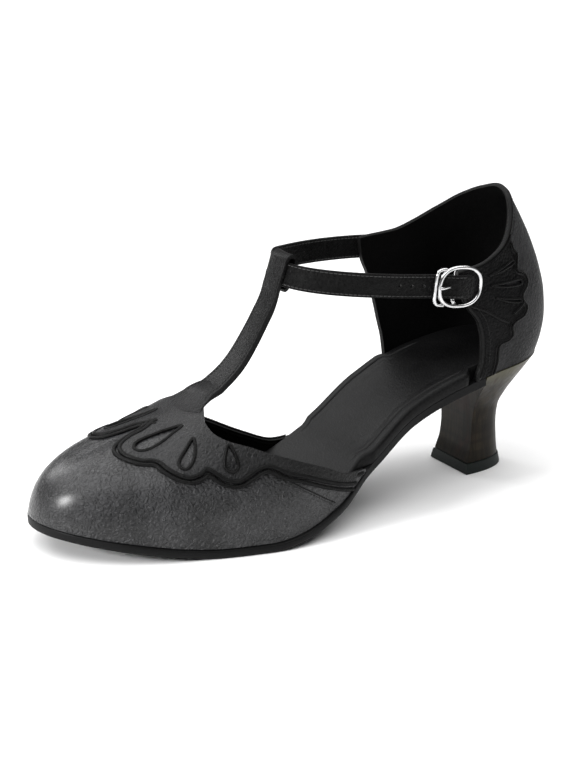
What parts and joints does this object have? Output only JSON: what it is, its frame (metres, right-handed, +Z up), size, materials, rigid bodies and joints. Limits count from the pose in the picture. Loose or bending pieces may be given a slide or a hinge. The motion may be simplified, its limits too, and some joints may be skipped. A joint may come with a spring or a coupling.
{
  "type": "t-strap shoe",
  "caption": "Women's left T-strap pump with open waists, a round closed toe, closed back, spool heel and a buckled ankle strap held in a loop at the top of the T.",
  "frame": {"origin": "middle of the shoe's footprint, on the floor it stands on", "axes": "+X toward the toe, +Y toward the outer (buckle) side, +Z up"},
  "size_m": [0.2436, 0.0886, 0.1267],
  "materials": {
    "sole": "matt black",
    "sock": "smooth black leather",
    "heel": "dark stained, satin",
    "lift": "matt black",
    "vamp": "grained dark grey leather, semi-gloss",
    "quarter": "grained dark grey leather, semi-gloss",
    "t_strap": "smooth black leather",
    "ankle_strap": "grained black leather",
    "buckle": "polished",
    "pin": "polished",
    "tab": "smooth black leather"
  },
  "bodies": {
    "root": {"outsole": "sole", "insole": "sock", "heel": "heel", "top_lift": "lift", "vamp": "vamp", "quarter": "quarter", "t_strap": "t_strap", "ankle_strap": "ankle_strap", "buckle_frame": "buckle", "buckle_pin": "pin", "buckle_tab": "tab"}
  },
  "joints": []
}
